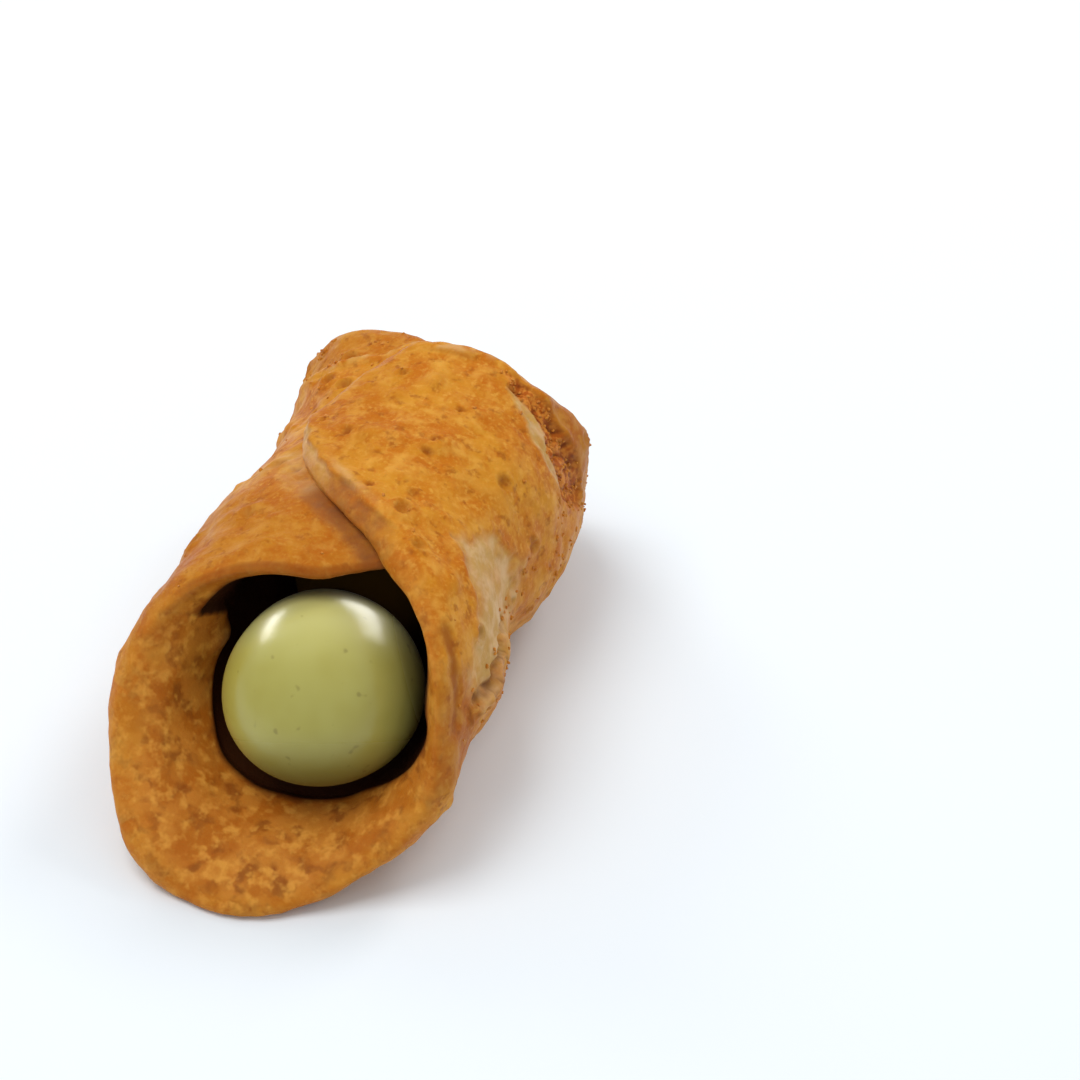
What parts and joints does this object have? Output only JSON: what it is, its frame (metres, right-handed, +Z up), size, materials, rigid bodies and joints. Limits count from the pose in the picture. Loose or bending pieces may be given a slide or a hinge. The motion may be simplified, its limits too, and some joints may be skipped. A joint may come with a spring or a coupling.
{
  "type": "cannoli",
  "caption": "Baked dough tube wrapped with one flap over the other, with long rounded lips, filled with a smooth pale green cream.",
  "frame": {"origin": "middle of the footprint, on the surface that the roll lies on", "axes": "+Z up, +Y along the tube from the long-lipped front mouth to the back mouth, +X to the side that the upper flap comes from"},
  "size_m": [0.0426, 0.0796, 0.0351],
  "materials": {
    "baked_dough": "mottled golden-brown baked dough with a faint oily sheen",
    "green_cream": "smooth glossy pale green nut cream"
  },
  "bodies": {
    "root": {"shell": "baked_dough", "cream": "green_cream"}
  },
  "joints": []
}
